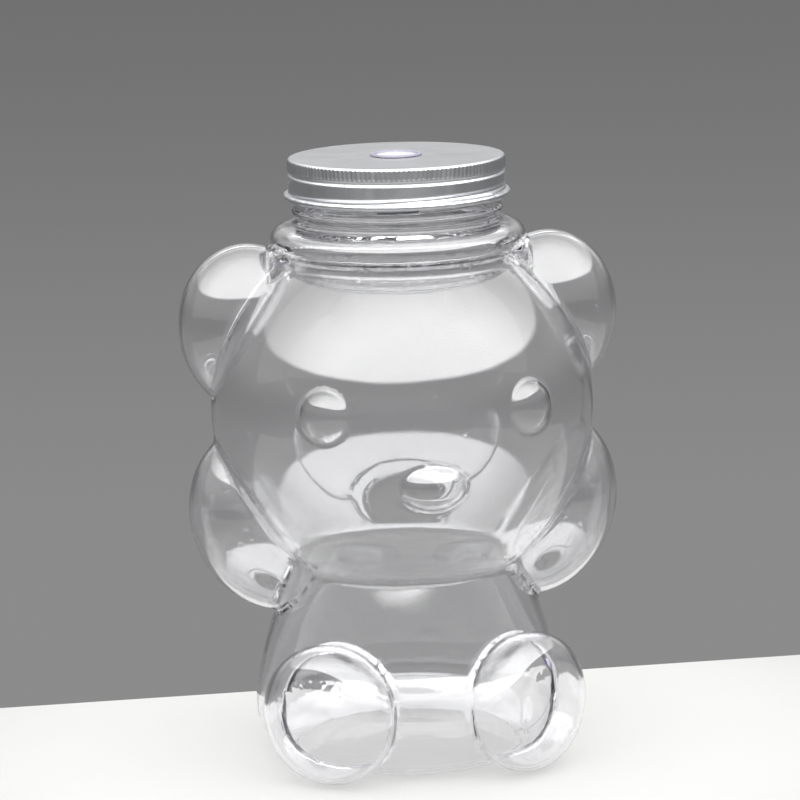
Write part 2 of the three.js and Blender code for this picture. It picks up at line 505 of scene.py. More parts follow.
@dataclass(frozen=True)
class MouldedSilicone:
    """Moulded silicone rubber: pale, satin and slightly milky, with a fine spark texture."""

    colour: str = "#97969C"
    shade: str = "#8F8E95"
    # Painted shade on the lip's inner slope, and the radii over which it comes in.
    lip_shade_colour: str = "#6E6C7A"
    lip_shade_span: tuple[float, float] = (4.75, 5.2)
    roughness: tuple[float, float] = (0.42, 0.56)
    cloud_size: float = 4.0
    cloud_detail: float = 3.0
    spark_size: float = 0.3
    spark_height: float = 0.012
    spark_detail: float = 1.0
    milkiness: float = 0.15
    glow_depth: float = 0.8

    def material(self) -> bpy.types.Material:
        """Gives a soft pale surface that light enters a little way, with painted shade on the lip's
        inner slope.

        Returns:
            The material.
        """
        made, shader, place = new_material("moulded_silicone")
        tree = made.node_tree
        size = {"Scale": per_metre(self.cloud_size), "Detail": self.cloud_detail}
        cloud = add_node(tree, "TexNoise", {"Vector": place, **size})
        tones = {SHARE: cloud, COLOUR_A: linear(self.colour), COLOUR_B: linear(self.shade)}
        tone = add_node(tree, "Mix", tones, COLOUR_OUT, data_type="RGBA")
        sheen = add_node(tree, "MapRange", [cloud, 0.0, 1.0, *self.roughness])
        # Painted shade: the lip's inner slope round the recess is painted greyer than the floor inside
        # it.
        parts = add_node(tree, "SeparateXYZ", [place]).node.outputs
        behind = add_node(tree, "Math", [parts["Y"], neck_axis_y() * MM], operation="SUBTRACT")
        flat = add_node(tree, "CombineXYZ", [parts["X"], behind])
        reach = add_node(tree, "VectorMath", [flat], "Value", operation="LENGTH")
        ring = [reach, *(radius * MM for radius in self.lip_shade_span)]
        lip = add_node(tree, "MapRange", ring, interpolation_type="SMOOTHSTEP")
        tones = {SHARE: lip, COLOUR_A: tone, COLOUR_B: linear(self.lip_shade_colour)}
        tint = add_node(tree, "Mix", tones, COLOUR_OUT, data_type="RGBA")
        size = {"Scale": per_metre(self.spark_size), "Detail": self.spark_detail}
        spark = add_node(tree, "TexNoise", {"Vector": place, **size})
        relief = {"Height": spark, "Strength": 1.0, "Distance": self.spark_height * MM}
        bump = add_node(tree, "Bump", relief)
        fill(
            shader,
            {
                "Subsurface Weight": self.milkiness,
                "Subsurface Scale": self.glow_depth * MM,
                "Base Color": tint,
                "Roughness": sheen,
                "Normal": bump,
            },
        )
        return made


@dataclass(frozen=True)
class PaintedGlowAcrylic:
    """Pale acrylic table top: plain and nearly matte, with a painted, glowing patch of light where the
    bottle stands.
    """

    colour: str = "#686867"
    shade: str = "#646463"
    roughness: float = 0.85
    shine: float = 0.1
    # Painted light: the colour, the strength in the middle and far out, and the radii of the glowing
    # patch.
    painted_glow_colour: str = "#FFFFFE"
    painted_glow_strength: tuple[float, float] = (0.55, 0.1)
    painted_light_pool: tuple[float, float] = (70.0, 240.0)
    cloud_size: float = 120.0

    def material(self) -> bpy.types.Material:
        """Gives a plain pale surface that stays pale under the clear bottle, because a patch of light
        is painted round it as emission.

        Returns:
            The material.
        """
        made, shader, place = new_material("acrylic_with_painted_glow")
        tree = made.node_tree
        # Painted light: the top glows brightest where the bottle stands and fades further out, with no
        # lamp under it.
        reach = add_node(tree, "VectorMath", [place], "Value", operation="LENGTH")
        fade = [reach, *(radius * MM for radius in self.painted_light_pool), *self.painted_glow_strength]
        painted_light_pool = add_node(tree, "MapRange", fade, interpolation_type="SMOOTHSTEP")
        size = {"Scale": per_metre(self.cloud_size)}
        cloud = add_node(tree, "TexNoise", {"Vector": place, **size})
        tones = {SHARE: cloud, COLOUR_A: linear(self.colour), COLOUR_B: linear(self.shade)}
        tone = add_node(tree, "Mix", tones, COLOUR_OUT, data_type="RGBA")
        fill(
            shader,
            {
                "Base Color": tone,
                "Roughness": self.roughness,
                "Specular IOR Level": self.shine,
                "Emission Color": linear(self.painted_glow_colour),
                "Emission Strength": painted_light_pool,
            },
        )
        return made


# The bear's form, as a height over its skin that is negative inside


def soft_union(a: np.ndarray, b: np.ndarray, fillet: float) -> np.ndarray:
    """Joins two forms with a fillet in the crease between them.

    Args:
        a: Height of each point over the first form.
        b: Height of each point over the second form.
        fillet: Width of the fillet in millimetres.

    Returns:
        Height of each point over the joined form.
    """
    near = np.maximum(fillet - np.abs(a - b), 0) / fillet
    return np.minimum(a, b) - near * near * fillet / 4


def soft_cut(a: np.ndarray, b: np.ndarray, round_off: float) -> np.ndarray:
    """Keeps what two forms share, with the edge between them rounded off."""
    return -soft_union(-a, -b, round_off)


def over_egg(offsets: list[np.ndarray], radii: list[float | np.ndarray]) -> np.ndarray:
    """Gives the height over an ellipse or ellipsoid, exact on its skin.

    Args:
        offsets: Distance of each point from the middle along each axis.
        radii: Half size along each axis.

    Returns:
        Height of each point over the skin.
    """
    share = np.sqrt(sum((p / r) ** 2 for p, r in zip(offsets, radii)))
    slope = np.sqrt(sum((p / r**2) ** 2 for p, r in zip(offsets, radii)))
    return share * (share - 1) / np.maximum(slope, TINY)


@dataclass(frozen=True)
class Lobe:
    """An egg-shaped ear or arm on the side of the head, placed by an angle up or down it."""

    angle: float
    sink: float
    back: float
    wide: float
    deep: float
    tall: float
    lean: float


@dataclass(frozen=True)
class Dome:
    """A low oval dome on the face: an eye or the nose."""

    turn: float
    up: float
    wide: float
    tall: float
    rise: float


@dataclass(frozen=True)
class BearForm:
    """The bear's outer skin below its screw neck: sizes in millimetres, angles in degrees."""

    trunk_radius: float = 38.0
    trunk_tall: float = 48.0
    trunk_widest: float = 14.5
    trunk_top_radius: float = 28.5
    trunk_bulge: float = 8.0
    trunk_tuck: float = 3.0
    base_corner: float = 12.0
    standing_ring: float = 4.5
    push_up_depth: float = 4.5
    gate_radius: float = 2.4
    gate_rise: float = 0.9

    head_radius: float = 47.0
    head_depth: float = 46.0
    head_above: float = 44.0
    head_below: float = 49.0

    ear: Lobe = Lobe(angle=30.4, sink=3.6, back=2.0, wide=17.0, deep=13.5, tall=20.4, lean=0.0)
    arm: Lobe = Lobe(angle=-37.9, sink=4.8, back=0.0, wide=19.5, deep=17.0, tall=23.6, lean=20.0)

    foot_turn: float = 38.0
    foot_out: float = 2.0
    foot_radius: float = 17.1
    foot_lift: float = 0.4
    heel_depth: float = 14.0
    sole_edge: float = 7.0
    sole_crown: float = 1.5

    eye: Dome = Dome(turn=32.5, up=4.4, wide=13.6, tall=13.6, rise=2.2)
    nose: Dome = Dome(turn=0.0, up=-12.0, wide=18.0, tall=13.0, rise=4.0)

    neck_radius: float = 24.9
    waist_step: float = 3.0
    waist_tall: float = 2.2
    collar_step: float = 3.5
    collar_round: float = 4.6
    collar_below: float = 3.0
    collar_above: float = 4.4

    chin_fillet: float = 1.6
    lobe_fillet: float = 1.4
    foot_fillet: float = 1.6
    face_fillet: float = 1.0
    collar_fillet: float = 1.2
    ring_round: float = 1.6

    @property
    def head_height(self) -> float:
        """Height of the head's middle, with the chin resting on the trunk's top."""
        share = self.trunk_top_radius / self.head_radius
        return self.trunk_tall + self.head_below * math.sqrt(1 - share**2)

    @property
    def waist_radius(self) -> float:
        """Radius of the short waist between the head and the collar."""
        return self.neck_radius + self.waist_step

    @property
    def shoulder_height(self) -> float:
        """Height at which the waist grows out of the head."""
        share = self.waist_radius / self.head_radius
        return self.head_height + self.head_above * math.sqrt(1 - share**2)

    @property
    def collar_height(self) -> float:
        """Height of the collar's widest ring."""
        return self.shoulder_height + self.waist_tall + self.collar_below

    def over_skin(self, points: np.ndarray) -> np.ndarray:
        """Gives each point's height over the bear's outer skin.

        Args:
            points: Points in millimetres from the neck's axis, one row each.

        Returns:
            The heights in millimetres, negative inside the skin.
        """
        spots = tuple(points.T)
        skin = self._over_head(spots)
        for over, fillet in self._over_swellings(spots):
            skin = soft_union(skin, over, fillet)
        return np.maximum(skin, -points[:, 2])

    def crease_width(self, points: np.ndarray) -> np.ndarray:
        """Gives how far each point on the skin is from having two forms equally near.

        Args:
            points: Points in millimetres from the neck's axis, one row each.

        Returns:
            The differences in millimetres, 0 in the middle of a crease.
        """
        spots = tuple(points.T)
        overs = [self._over_head(spots)]
        overs += [over for over, _ in self._over_swellings(spots)]
        nearest = np.partition(np.stack(overs), 1, axis=0)
        return nearest[1] - nearest[0]

    def _over_swellings(self, spots: Spots) -> list[tuple[np.ndarray, float]]:
        """Gives the height over each form that grows from the head.

        Args:
            spots: X, Y and Z of the points.

        Returns:
            The heights over each form, with the form's fillet.
        """
        x, y, z = spots
        r = np.hypot(x, y)
        forms = [(self._over_trunk(r, z), self.chin_fillet)]
        for side in Side:
            forms.append((self._over_lobe(self.ear, side, spots), self.lobe_fillet))
            forms.append((self._over_lobe(self.arm, side, spots), self.lobe_fillet))
            forms.append((self._over_foot(side, spots), self.foot_fillet))
            forms.append((self._over_dome(self.eye, side, spots), self.face_fillet))
        forms.append((self._over_dome(self.nose, Side.LEFT_HAND, spots), self.face_fillet))
        forms += [(over, self.collar_fillet) for over in self._over_shoulder(r, z)]
        return forms

    def slope(self, points: np.ndarray) -> np.ndarray:
        """Gives the direction in which the height over the skin grows.

        Args:
            points: Points in millimetres from the neck's axis, one row each.

        Returns:
            The direction at each point, about 1 long on the skin.
        """
        step = 0.02
        rows = []
        for axis in np.eye(3):
            ahead = self.over_skin(points + axis * step)
            rows.append((ahead - self.over_skin(points - axis * step)) / (2 * step))
        return np.stack(rows, axis=1)

    def _over_trunk(self, r: np.ndarray, z: np.ndarray) -> np.ndarray:
        """Gives the height over the bell-shaped trunk, on its ring round a domed push-up.

        Args:
            r: Distance of the points from the axis.
            z: Height of the points.

        Returns:
            Height of each point over the trunk.
        """
        grow = self.trunk_tall - self.trunk_widest - 2 * self.trunk_bulge
        up = np.clip(z - self.trunk_widest, 0, self.trunk_tall - self.trunk_widest)
        t = (np.sqrt(self.trunk_bulge**2 + grow * up) - self.trunk_bulge) / grow
        narrowing = self.trunk_radius - self.trunk_top_radius
        lean = -narrowing * t / (self.trunk_bulge + grow * t)
        side = (r - self.trunk_radius + narrowing * t**2) / np.sqrt(1 + lean**2)
        out = r - self.trunk_radius + self.base_corner
        down = self.base_corner - z
        corner = np.hypot(np.maximum(out, 0), np.maximum(down, 0))
        corner += np.minimum(np.maximum(out, down), 0) - self.base_corner
        bell = np.where(z > self.trunk_widest, side, corner)
        bell = np.maximum(bell, z - self.trunk_tall - self.trunk_tuck)
        edge = self.trunk_radius - self.base_corner - self.standing_ring
        dome = (edge**2 + self.push_up_depth**2) / (2 * self.push_up_depth)
        push_up = dome - np.hypot(r, z - self.push_up_depth + dome)
        gate = over_egg([r, z - self.push_up_depth], [self.gate_radius, self.gate_rise])
        return soft_union(soft_cut(bell, push_up, self.ring_round), gate, self.face_fillet)

    def _over_head(self, spots: Spots) -> np.ndarray:
        """Gives the height over the round head, deeper below its middle than above it.

        Args:
            spots: X, Y and Z of the points.

        Returns:
            Height of each point over the head.
        """
        x, y, z = spots
        up = z - self.head_height
        tall = np.where(up > 0, self.head_above, self.head_below)
        return over_egg([x, y, up], [self.head_radius, self.head_depth, tall])

    def lobe_middle(self, lobe: Lobe) -> tuple[float, float]:
        """Finds the middle of an ear or an arm.

        Args:
            lobe: The ear or the arm.

        Returns:
            How far out and how far up it is from the head's middle.
        """
        reach = self.head_above if lobe.angle > 0 else self.head_below
        angle = math.radians(lobe.angle)
        skin = Vector((self.head_radius * math.cos(angle), reach * math.sin(angle)))
        middle = skin * (1 - lobe.sink / skin.length)
        return middle.x, middle.y

    def _over_lobe(self, lobe: Lobe, side: Side, spots: Spots) -> np.ndarray:
        """Gives the height over an ear or an arm.

        Args:
            lobe: The ear or the arm.
            side: The bear's side that it is on.
            spots: X, Y and Z of the points.

        Returns:
            Height of each point over it.
        """
        x, y, z = spots
        out, up = self.lobe_middle(lobe)
        across = x * side.value - out
        above = z - self.head_height - up
        turn = math.radians(lobe.lean)
        along = across * math.cos(turn) - above * math.sin(turn)
        rise = across * math.sin(turn) + above * math.cos(turn)
        return over_egg([along, y - lobe.back, rise], [lobe.wide, lobe.deep, lobe.tall])

    def _over_foot(self, side: Side, spots: Spots) -> np.ndarray:
        """Gives the height over a stubby foot, round behind and with a softly crowned sole.

        Args:
            side: The bear's side that it is on.
            spots: X, Y and Z of the points.

        Returns:
            Height of each point over the foot.
        """
        x, y, z = spots
        turn = math.radians(side.value * self.foot_turn)
        ahead = x * math.sin(turn) - y * math.cos(turn) - self.trunk_radius - self.foot_out
        across = x * math.cos(turn) + y * math.sin(turn)
        wide = np.hypot(across, z - self.foot_radius - self.foot_lift)
        heel = over_egg([wide, ahead], [self.foot_radius, self.heel_depth])
        flat = self.foot_radius - self.sole_edge
        edge = np.hypot(wide - flat, ahead) - self.sole_edge
        crown = self.sole_crown * (1 - np.minimum(wide / flat, 1) ** 2) ** 2
        sole = ahead - self.sole_edge - crown
        return np.where(ahead < 0, heel, np.where(wide > flat, edge, sole))

    def dome_place(self, dome: Dome, side: Side) -> tuple[Vector, float]:
        """Finds where an eye or the nose sits on the head.

        Args:
            dome: The eye or the nose.
            side: The bear's side that it is on.

        Returns:
            The point on the skin under its middle, and the way it faces in radians.
        """
        reach = self.head_above if dome.up > 0 else self.head_below
        level = math.sqrt(1 - (dome.up / reach) ** 2)
        turn = math.radians(side.value * dome.turn)
        x = math.sin(turn) * self.head_radius * level
        y = -math.cos(turn) * self.head_depth * level
        facing = math.atan2(x / self.head_radius**2, -y / self.head_depth**2)
        return Vector((x, y, self.head_height + dome.up)), facing

    def _over_dome(self, dome: Dome, side: Side, spots: Spots) -> np.ndarray:
        """Gives the height over an eye or the nose.

        Args:
            dome: The eye or the nose.
            side: The bear's side that it is on.
            spots: X, Y and Z of the points.

        Returns:
            Height of each point over it.
        """
        x, y, z = spots
        skin, facing = self.dome_place(dome, side)
        dx, dy = x - skin.x, y - skin.y
        across = dx * math.cos(facing) + dy * math.sin(facing)
        inward = dy * math.cos(facing) - dx * math.sin(facing) - dome.rise
        radii = [dome.wide / 2, 2 * dome.rise, dome.tall / 2]
        return over_egg([across, inward, z - skin.z], radii)

    def _over_shoulder(self, r: np.ndarray, z: np.ndarray) -> list[np.ndarray]:
        """Gives the heights over the waist, the rounded collar and the root of the neck.

        Args:
            r: Distance of the points from the axis.
            z: Height of the points.

        Returns:
            Height of each point over each of the three.
        """
        waist = np.maximum(r - self.waist_radius, z - self.collar_height)
        out = r - self.waist_radius - self.collar_step + self.collar_round
        up = z - self.collar_height
        tall = np.where(up > 0, self.collar_above, self.collar_below)
        bead = over_egg([out, up], [self.collar_round, tall])
        collar = np.where(out > 0, bead, np.abs(up) - tall)
        neck = np.maximum(r - self.neck_radius, -up)
        return [waist, collar, neck]


# The screw thread that the neck and the cap share


@dataclass(frozen=True)
class ScrewThread:
    """A right-hand thread round the neck's axis: sizes in millimetres, angles in degrees."""

    pitch: float = 3.6
    start_height: float = 137.4
    start_angle: float = -150.0
    turns: float = 1.6
    half_width: float = 0.85
    flank: float = 0.6
    run_out: float = 0.09

    def ridge(self, points: np.ndarray) -> np.ndarray:
        """Gives how far up the thread's ridge each point stands.

        Args:
            points: Points in millimetres from the neck's axis, one row each.

        Returns:
            A share from 0, off the thread, to 1, on its crest.
        """
        angle = np.degrees(np.arctan2(points[:, 1], points[:, 0])) - self.start_angle
        share = (angle % 360) / 360
        climbed = (points[:, 2] - self.start_height) / self.pitch - share
        turn = np.round(climbed)
        off = np.abs(climbed - turn) * self.pitch
        along = turn + share
        ends = np.minimum(along, self.turns - along) / self.run_out
        return smooth_step((self.half_width - off) / self.flank) * smooth_step(ends)


# Pieces


@dataclass
class BearBottle:
    """The blown bottle: the bear's shell with its screw neck."""

    form: BearForm = field(default_factory=BearForm)
    thread: ScrewThread = field(default_factory=ScrewThread)
    finish: ClearPet = field(default_factory=ClearPet)
    wall: float = 1.0
    neck_wall: float = 1.9
    cut_height: float = 132.6
    spare: float = 6.0
    lap: float = 0.5
    ring_up: float = 7.4
    ring_rise: float = 0.8
    ring_tall: float = 1.6
    lip_round: float = 0.6
    thread_rise: float = 0.62
    thread_step: float = 0.3
    columns: int = 180
    lip_steps: int = 5
    ring_steps: int = 10
    bore_step: float = 2.5
    foot_step: float = 1.0
    grain: dict[Wall, float] = by_wall(outer=1.5, inner=1.8)
    crease_band: dict[Wall, float] = by_wall(outer=1.2, inner=0.9)
    chin_reach: float = 3.0
    settle_rounds: int = 5
    settle_step: float = 2.0
    least_slope: float = 0.2
    relax_rounds: int = 2
    relax_share: float = 0.5
    relax_repeat: int = 3
    rough_columns: int = 48
    rough_overlap: float = 2.0
    rough_lift: float = 0.3

    def build(self) -> bpy.types.Object:
        """Models the shell and the neck as one closed wall.

        Returns:
            The bottle, dressed and riding on its body.
        """
        outer = self._skin(Wall.OUTER)
        inner = self._skin(Wall.INNER)
        neck = self._neck()
        pick(outer, inner, neck)
        bpy.ops.object.join()
        bottle = bpy.context.object
        bottle.name = bottle.data.name = "bear_bottle"
        for radius in (self.form.neck_radius, self.form.neck_radius - self.neck_wall):
            self._bridge(bottle, radius)
        with editing(bottle):
            bpy.ops.mesh.normals_make_consistent(inside=False)
        bpy.ops.object.shade_smooth()
        self._true_normals(bottle)
        bottle.data.materials.append(self.finish.material())
        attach(bottle, "bottle")
        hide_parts("bottle_body")
        return bottle

    def _depth(self, z: np.ndarray, wall: Wall) -> np.ndarray:
        """Gives how far under the outer skin a skin lies.

        Args:
            z: Heights in millimetres.
            wall: Which skin.

        Returns:
            The depth at each height.
        """
        if wall is Wall.OUTER:
            return np.zeros_like(z)
        low = self.form.collar_height
        share = smooth_step((z - low) / (self.cut_height - self.lap - low))
        return self.wall + (self.neck_wall - self.wall) * share

    def _blocked_out(self) -> bpy.types.Object:
        """Piles up rough forms that the skin is then drawn over.

        Returns:
            One object of overlapping closed forms.
        """
        form = self.form
        y = neck_axis_y()
        tall = form.trunk_tall + form.trunk_tuck
        rough: list[bpy.types.Object] = []

        def keep() -> None:
            """Puts the primitive that was just added with the others."""
            bpy.ops.object.transform_apply(location=True, rotation=True, scale=True)
            rough.append(bpy.context.object)

        def egg(place: Triple, radii: Triple, turn: Triple) -> None:
            """Adds a stretched ball.

            Args:
                place: Its middle, from the neck's axis.
                radii: Its half sizes.
                turn: Its turn round each axis in radians.
            """
            deselect()
            bpy.ops.mesh.primitive_uv_sphere_add(
                segments=self.rough_columns,
                ring_count=self.rough_columns // 2,
                radius=MM,
                location=(place[0] * MM, (place[1] + y) * MM, place[2] * MM),
                rotation=turn,
                scale=radii,
            )
            keep()

        def drum(low: float, high: float, wide_low: float, wide_high: float) -> None:
            """Adds a round drum on the neck's axis.

            Args:
                low: Height of its foot.
                high: Height of its top.
                wide_low: Radius at its foot.
                wide_high: Radius at its top.
            """
            deselect()
            bpy.ops.mesh.primitive_cone_add(
                vertices=self.rough_columns * 3 // 2,
                radius1=wide_low * MM,
                radius2=wide_high * MM,
                depth=(high - low) * MM,
                location=(0, y * MM, (low + high) / 2 * MM),
            )
            keep()

        drum(form.push_up_depth, form.trunk_widest, form.trunk_radius, form.trunk_radius)
        drum(form.trunk_widest, tall, form.trunk_radius, form.trunk_top_radius)
        foot = form.trunk_radius - form.base_corner / 2
        drum(self.rough_lift, form.push_up_depth, foot, form.trunk_radius)
        head_tall = (form.head_above + form.head_below) / 2
        egg((0, 0, form.head_height), (form.head_radius, form.head_depth, head_tall), (0, 0, 0))
        drum(form.head_height, form.collar_height, form.waist_radius, form.waist_radius)
        collar = form.waist_radius + form.collar_step
        half = self.rough_overlap
        drum(form.collar_height - half, form.collar_height + half, collar, collar - half / 2)
        top = self.cut_height + 2 * self.spare
        drum(form.collar_height, top, form.neck_radius, form.neck_radius)
        for side in Side:
            for lobe in (form.ear, form.arm):
                out, up = form.lobe_middle(lobe)
                place = (side.value * out, lobe.back, form.head_height + up)
                turn = (0, math.radians(side.value * lobe.lean), 0)
                egg(place, (lobe.wide, lobe.deep, lobe.tall), turn)
            turn = math.radians(side.value * form.foot_turn)
            reach = form.trunk_radius + form.foot_out
            place = (reach * math.sin(turn), -reach * math.cos(turn), form.foot_radius + form.foot_lift)
            deep = form.sole_edge + self.rough_overlap
            egg(place, (form.foot_radius, deep, form.foot_radius), (0, 0, turn))
            skin, facing = form.dome_place(form.eye, side)
            egg(tuple(skin), (form.eye.wide / 2, form.eye.rise, form.eye.tall / 2), (0, 0, facing))
        skin, facing = form.dome_place(form.nose, Side.LEFT_HAND)
        egg(tuple(skin), (form.nose.wide / 2, form.nose.rise, form.nose.tall / 2), (0, 0, facing))
        pick(*rough)
        bpy.ops.object.join()
        return bpy.context.object

    def _settled(self, points: np.ndarray, wall: Wall) -> np.ndarray:
        """Moves points straight onto the skin.

        Args:
            points: Points near the skin, in millimetres from the neck's axis.
            wall: Which skin they belong to.

        Returns:
            The points on the skin.
        """
        moved = points.copy()
        for _ in range(self.settle_rounds):
            slope = self.form.slope(moved)
            off = self.form.over_skin(moved) + self._depth(moved[:, 2], wall)
            steep = np.maximum((slope**2).sum(axis=1), self.least_slope)
            step = np.clip(off / steep, -self.settle_step, self.settle_step)
            moved -= slope * step[:, None]
        return moved

    def _skin(self, wall: Wall) -> bpy.types.Object:
        """Draws one even mesh over the blocked-out forms, settles it and opens it at the neck.

        Args:
            wall: The outer skin or the inner one.

        Returns:
            The skin, open at the height where the neck begins.
        """
        skin = self._blocked_out()
        skin.name = f"skin_{wall.value}"
        skin.data.remesh_voxel_size = self.grain[wall] * MM
        bpy.ops.object.voxel_remesh()
        self._cut_above(skin, self.cut_height + self.spare)
        set_points(skin, self._settled(points_of(skin), wall))
        top = self.cut_height + self.spare
        chin = self.form.trunk_tall
        fine = [(chin - self.chin_reach, chin + self.chin_reach), (self.form.shoulder_height, top)]
        for bands in ([(0.0, top)], fine):
            self._relax(skin, wall)
            self._refine_creases(skin, wall, bands)
        self._drop_folds(skin)
        self._relax(skin, wall)
        self._cut_above(skin, self.cut_height)
        LOG.info("skin %s has %d faces", wall.value, len(skin.data.polygons))
        return skin

    def _drop_folds(self, skin: bpy.types.Object) -> None:
        """Takes out points that only two faces meet at, which fold those faces onto each other.

        Args:
            skin: The skin to mend.
        """
        with editing(skin, "DESELECT"):
            bpy.ops.mesh.select_mode(type="VERT")
            mesh = bmesh.from_edit_mesh(skin.data)
            for point in mesh.verts:
                point.select_set(len(point.link_edges) == 2 and not point.is_boundary)
            bmesh.update_edit_mesh(skin.data)
            bpy.ops.mesh.dissolve_verts()

    def _cut_above(self, skin: bpy.types.Object, height: float) -> None:
        """Takes off what lies above a height in millimetres, and leaves the skin open there."""
        with editing(skin):
            bpy.ops.mesh.bisect(plane_co=(0, 0, height * MM), plane_no=(0, 0, 1), clear_outer=True)

    def _relax(self, skin: bpy.types.Object, wall: Wall) -> None:
        """Evens out a skin's points and settles them again.

        Args:
            skin: The skin to even out.
            wall: Which skin it is.
        """
        for _ in range(self.relax_rounds):
            with editing(skin):
                bpy.ops.mesh.vertices_smooth(factor=self.relax_share, repeat=self.relax_repeat)
            set_points(skin, self._settled(points_of(skin), wall))

    def _refine_creases(self, skin: bpy.types.Object, wall: Wall, bands: Pairs) -> None:
        """Halves the faces along the creases at some heights, so that their fillets stay crisp.

        Args:
            skin: The skin to refine.
            wall: Which skin it is.
            bands: Lowest and highest height of each band to refine, in millimetres.
        """
        points = points_of(skin)
        z = points[:, 2]
        near = self.form.crease_width(points) < self.crease_band[wall]
        near &= np.any([(z > low) & (z < high) for low, high in bands], axis=0)
        with editing(skin, "DESELECT"):
            bpy.ops.mesh.select_mode(type="FACE")
            mesh = bmesh.from_edit_mesh(skin.data)
            for face in mesh.faces:
                face.select_set(any(near[corner.index] for corner in face.verts))
            bmesh.update_edit_mesh(skin.data)
            bpy.ops.mesh.subdivide(number_cuts=1)

    def _true_normals(self, bottle: bpy.types.Object) -> None:
        """Gives the shell the normals of the form itself, which its facets only come near to.

        Args:
            bottle: The whole bottle, shaded smooth.
        """
        points = points_of(bottle)
        flat = np.empty(len(points) * 3)
        bottle.data.vertex_normals.foreach_get("vector", flat)
        normals = flat.reshape(-1, 3)
        shell = points[:, 2] < self.cut_height + self.lap / 2
        slope = self.form.slope(points[shell])
        slope /= np.linalg.norm(slope, axis=1)[:, None]
        facing = np.sign((slope * normals[shell]).sum(axis=1))
        normals[shell] = slope * facing[:, None]
        bottle.data.normals_split_custom_set_from_vertices(normals.tolist())

    def _neck(self) -> bpy.types.Object:
        """Turns the neck: a ring that stops the cap, the thread, a rounded lip and the bore.

        Returns:
            The neck, open at its foot.
        """
        outside = self.form.neck_radius
        bore = outside - self.neck_wall
        foot = self.cut_height + self.lap
        _, rim = node_heights("bottle_body")
        crest = self.form.collar_height + self.ring_up
        half = self.ring_tall / 2
        lip = rim - self.lip_round
        soft = self.lip_round
        outline = line(outside, foot, crest - half, self.foot_step)
        outline += arc(outside, crest, self.ring_rise, half, -90, 90, self.ring_steps)[1:]
        outline += line(outside, crest + half, lip, self.thread_step)[1:]
        outline += arc(outside - soft, lip, soft, soft, 0, 90, self.lip_steps)[1:]
        outline += arc(bore + soft, lip, soft, soft, 90, 180, self.lip_steps)
        outline += line(bore, lip, foot, self.bore_step)[1:]
        neck = turned("neck", outline, self.columns, closed=False)
        points = points_of(neck)
        on_wall = np.hypot(points[:, 0], points[:, 1]) > outside - TOUCH
        clear = points[:, 2] > crest + half
        push_out(neck, self.thread_rise * self.thread.ridge(points) * (on_wall & clear))
        return neck

    def _bridge(self, bottle: bpy.types.Object, radius: float) -> None:
        """Closes the gap between a skin and the neck's foot.

        Args:
            bottle: The joined skins and neck.
            radius: Distance of the two open edges from the axis.
        """
        axis = Vector((0, neck_axis_y() * MM))
        with editing(bottle, "DESELECT"):
            bpy.ops.mesh.select_mode(type="EDGE")
            mesh = bmesh.from_edit_mesh(bottle.data)
            for edge in mesh.edges:
                if edge.is_boundary:
                    off = [abs((v.co.xy - axis).length / MM - radius) for v in edge.verts]
                    edge.select_set(max(off) < self.neck_wall / 2)
            bmesh.update_edit_mesh(bottle.data)
            bpy.ops.mesh.bridge_edge_loops()


